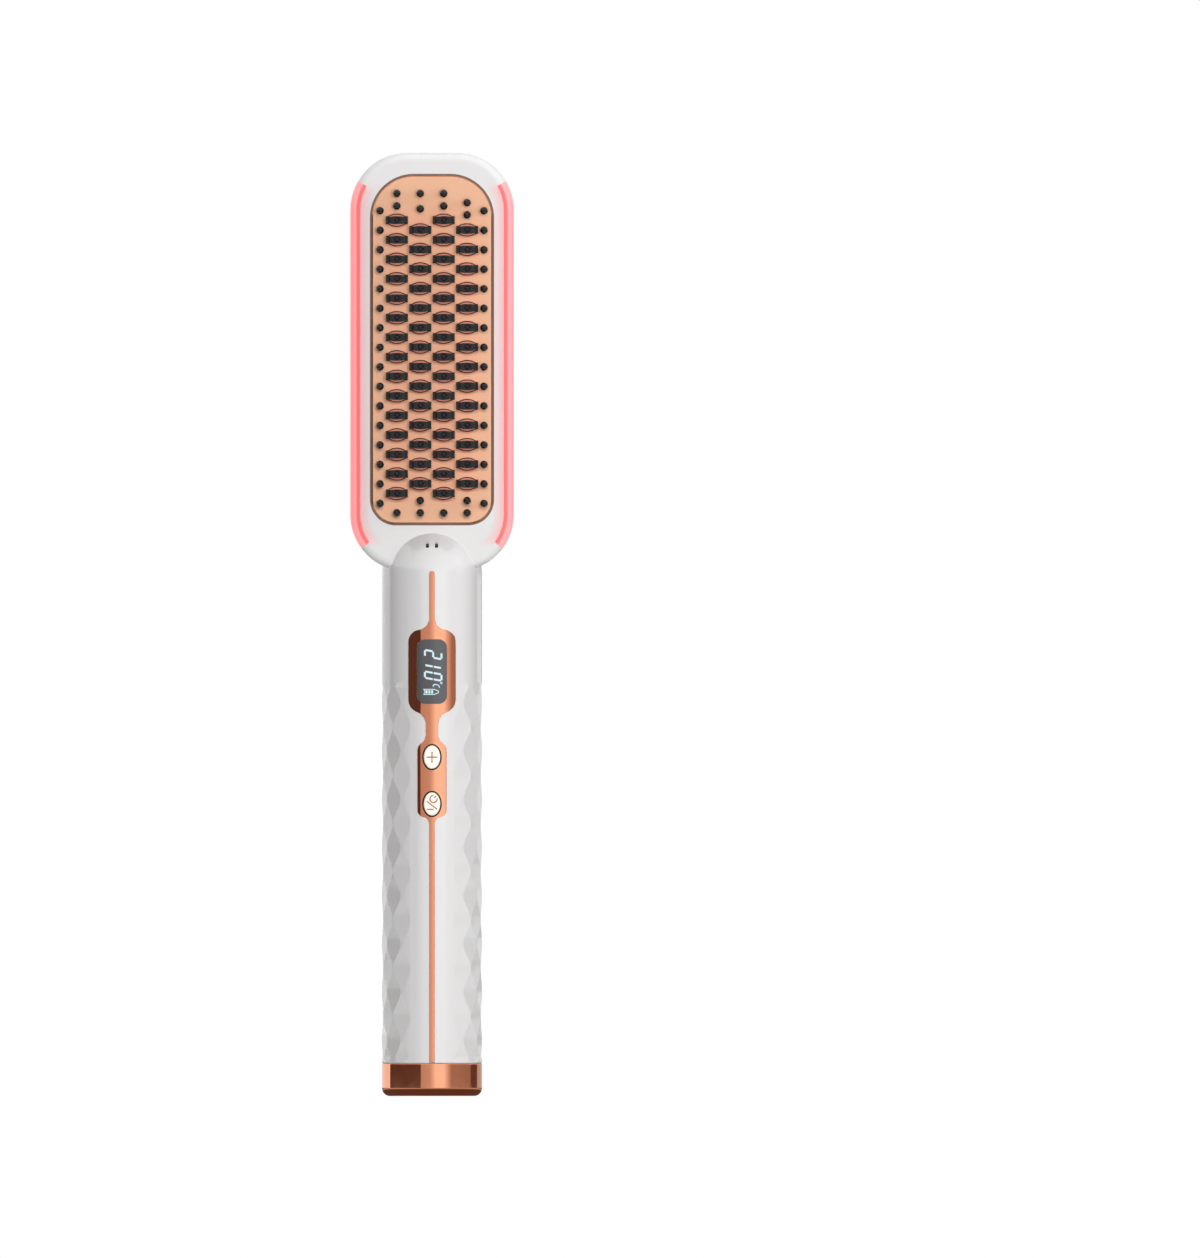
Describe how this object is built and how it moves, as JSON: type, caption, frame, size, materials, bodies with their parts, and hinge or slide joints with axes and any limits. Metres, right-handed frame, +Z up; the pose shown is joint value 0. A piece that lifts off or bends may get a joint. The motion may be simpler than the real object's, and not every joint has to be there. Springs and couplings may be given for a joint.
{
  "type": "hair straightening brush",
  "caption": "Cordless hair straightening brush: rounded head with a heated plate of tipped fins and guard pins, side lights, and a round scaled grip with a display, push buttons and end cap.",
  "frame": {"origin": "centre of the end cap's flat underside, on the handle's axis", "axes": "+Z up the handle to the head, -Y the way the teeth point, +X to the right of someone facing the teeth"},
  "size_m": [0.0502, 0.0365, 0.29],
  "materials": {
    "white_shell": "smooth glossy white moulding",
    "rose_plating": "mirror-bright rose-gold plating on plastic",
    "rose_plate": "satin rose-gold ceramic coat on cast aluminium",
    "red_diffuser": "translucent red light guide",
    "smoked_lens": "smoke-grey glossy window",
    "black_plastic": "black heat-proof nylon",
    "cream_button": "smooth cream",
    "grey_plastic": "plain moulding",
    "bright_steel": "bright",
    "white_ceramic": "fired alumina",
    "brown_mica": "pressed mica",
    "glass_bead": "glass-sealed bead",
    "green_board": "solder-masked glass-fibre board",
    "red_lamp": "clear resin over a red die",
    "battery_wrap": "shrink sleeve over a cell can",
    "blue_resin": "potted block",
    "red_lead": "silicone insulation"
  },
  "bodies": {
    "brush": {"light_strip_left": "red_diffuser", "light_strip_right": "red_diffuser", "front_trim": "rose_plating", "display_lens": "smoked_lens", "front_housing": "white_shell", "rear_housing": "white_shell", "rear_panel": "white_shell", "rear_trim_frame": "rose_plating", "end_cap": "rose_plating", "charge_port_shell": "bright_steel", "charge_port_tongue": "black_plastic", "charge_board": "green_board", "heating_plate": "rose_plate", "heating_fins": "rose_plate", "tooth_tips": "black_plastic", "guard_pins": "black_plastic", "ceramic_heater": "white_ceramic", "mica_sheet": "brown_mica", "heater_straps": "bright_steel", "plate_screws": "bright_steel", "housing_screws": "bright_steel", "board_screws": "bright_steel", "temperature_sensor": "glass_bead", "thermal_fuse": "bright_steel", "led_board_left": "green_board", "led_board_right": "green_board", "leds_left": "red_lamp", "leds_right": "red_lamp", "main_board": "green_board", "display_module": "black_plastic", "plus_switch": "black_plastic", "power_switch": "black_plastic", "battery_cell_lower": "battery_wrap", "battery_cell_upper": "battery_wrap", "battery_cradle": "grey_plastic", "ion_generator": "blue_resin", "ion_needles": "bright_steel", "heater_leads": "red_lead"},
    "plus_button": {"plus_button": "cream_button"},
    "power_button": {"power_button": "cream_button"},
    "plus_plunger": {"plus_plunger": "grey_plastic"},
    "power_plunger": {"power_plunger": "grey_plastic"}
  },
  "joints": [
    {"name": "plus_button_press", "type": "slide", "parent": "brush", "child": "plus_button", "axis": [0, 1, 0], "range_m": [0, 0.0005], "stiffness_N_per_m": 2500},
    {"name": "power_button_press", "type": "slide", "parent": "brush", "child": "power_button", "axis": [0, 1, 0], "range_m": [0, 0.0005], "stiffness_N_per_m": 2500},
    {"name": "plus_plunger_press", "type": "slide", "parent": "brush", "child": "plus_plunger", "axis": [0, 1, 0], "range_m": [0, 0.0005]},
    {"name": "power_plunger_press", "type": "slide", "parent": "brush", "child": "power_plunger", "axis": [0, 1, 0], "range_m": [0, 0.0005]}
  ],
  "couplings": [
    {"joint": "plus_plunger_press", "follows": "plus_button_press", "ratio": 1},
    {"joint": "power_plunger_press", "follows": "power_button_press", "ratio": 1}
  ]
}
